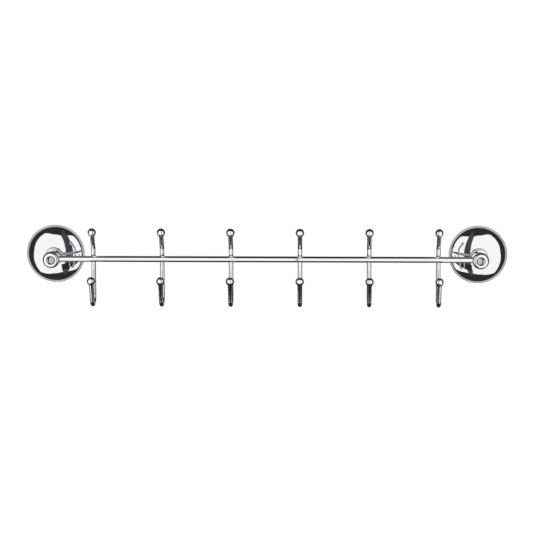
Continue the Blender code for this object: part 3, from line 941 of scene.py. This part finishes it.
def build_tent_ring(name, inner, outer, material):
    """The part of a spherical tent between two outlines, the same on the left as on the right."""
    bm = bmesh.new()
    grid = []
    for i in range(TENT_ROWS + 1):
        share = i / TENT_ROWS
        row = []
        for k in range(TENT_COLUMNS):
            turn = -90 + 360 * k / TENT_COLUMNS
            mirrored = turn if turn <= 90 else 180 - turn
            off_axis = between(inner, mirrored) * (1 - share) + between(outer, mirrored) * share
            row.append(bm.verts.new(tent_point(turn, off_axis)))
        grid.append(row)
    for lower, upper in zip(grid, grid[1:]):
        for k in range(TENT_COLUMNS):
            m = (k + 1) % TENT_COLUMNS
            bm.faces.new((lower[k], lower[m], upper[m], upper[k]))
    hang_backdrop(name, finish_mesh(name, bm), material)


def build_panel(name, first, second, material):
    """A panel between two edges with the same number of points."""
    bm = bmesh.new()
    first = [bm.verts.new(point) for point in first]
    second = [bm.verts.new(point) for point in second]
    for i in range(len(first) - 1):
        bm.faces.new((first[i], first[i + 1], second[i + 1], second[i]))
    hang_backdrop(name, finish_mesh(name, bm), material)


def build_front_panel(material):
    """A dark upright panel, edge on to the bar where a hook crosses it. Both domes mirror it."""
    edges = []
    for outline in (PANEL_NEAR, PANEL_FAR):
        edge = []
        for depth, height in outline:
            edge.append((PANEL_X + PANEL_SLOPE * (depth - BAR_STANDOFF), -depth, height))
        edges.append(edge)
    build_panel("front_panel", *edges, material)


def build_low_panel(material):
    """A long dark panel below and in front of the hooks, which their lower prongs mirror."""
    edges = []
    for depth, height in LOW_PANEL_EDGES:
        edges.append([(x, -depth, height) for x in LOW_PANEL_ENDS])
    build_panel("low_panel", *edges, material)


def build_walls(material):
    """The pale wall round each flange, which the skirt mirrors."""
    for side, direction in SIDES:
        centre = Matrix.Translation((direction * POST_SPACING / 2, 0, 0)) @ FROM_WALL
        ring = lathe_bm([(WALL_INNER_RADIUS, 0), (WALL_OUTER_RADIUS, 0)], LARGE_SEGMENTS)
        name = side + "_wall"
        hang_backdrop(name, finish_mesh(name, ring, centre), material)


def build_backdrops():
    """A white opening in front, a dark band round it, a grey back, the panels and the wall."""
    dark = plain_material("dark_card", BLACK, BACKDROP_ROUGHNESS, DARK_TINT)
    grey = plain_material("grey_card", BLACK, BACKDROP_ROUGHNESS, GREY_TINT)
    slate = plain_material("slate_card", BLACK, BACKDROP_ROUGHNESS, SLATE_TINT)
    build_tent_ring("dark_band", OPENING, BAND_BACK, dark)
    build_tent_ring("grey_back", BAND_BACK, TENT_END, grey)
    build_front_panel(slate)
    build_low_panel(dark)
    build_walls(grey)


def build_world():
    """White to the camera and in reflections, and a softer white as light."""
    world = bpy.data.worlds.new("studio")
    bpy.context.scene.world = world
    world.use_nodes = True
    nodes, links = world.node_tree.nodes, world.node_tree.links
    background = nodes["Background"]
    background.inputs["Color"].default_value = (1, 1, 1, 1)
    path = nodes.new("ShaderNodeLightPath")
    seen = path.outputs["Is Camera Ray"]
    for kind in ("Is Glossy Ray", "Is Transmission Ray"):
        either = nodes.new("ShaderNodeMath")
        either.operation = "MAXIMUM"
        links.new(seen, either.inputs[0])
        links.new(path.outputs[kind], either.inputs[1])
        seen = either.outputs[0]
    strength = nodes.new("ShaderNodeMapRange")
    strength.inputs["To Min"].default_value = WORLD_LIGHT
    strength.inputs["To Max"].default_value = 1.0
    links.new(seen, strength.inputs["Value"])
    links.new(strength.outputs["Result"], background.inputs["Strength"])


def build_lamps():
    """Soft square lamps that face the rail's middle."""
    for name, location, power in LAMPS:
        light = bpy.data.lights.new(name, "AREA")
        light.shape = "SQUARE"
        light.size = LAMP_SIZE
        light.energy = power
        lamp = bpy.data.objects.new(name, light)
        bpy.context.scene.collection.objects.link(lamp)
        lamp.location = location
        lamp.rotation_euler = (-Vector(location)).to_track_quat("-Z", "Y").to_euler()
        lamp.visible_glossy = False


def build_camera():
    """Camera at the photograph's angle, above the rail and a little right of its middle."""
    data = bpy.data.cameras.new("camera")
    data.sensor_width = SENSOR_WIDTH
    data.lens = LENS
    camera = bpy.data.objects.new("camera", data)
    bpy.context.scene.collection.objects.link(camera)
    turn = Matrix.Rotation(math.radians(CAMERA_YAW), 4, "Z")
    tilt = Matrix.Rotation(math.radians(90 - CAMERA_ELEVATION), 4, "X")
    roll = Matrix.Rotation(math.radians(CAMERA_ROLL), 4, "Z")
    camera.matrix_world = Matrix.Translation(CAMERA_PLACE) @ turn @ tilt @ roll
    bpy.context.scene.camera = camera


build_bar()
build_ends()
build_hooks()
build_camera()
build_world()
build_floor()
build_backdrops()
build_lamps()
bpy.context.scene.view_settings.view_transform = "Standard"
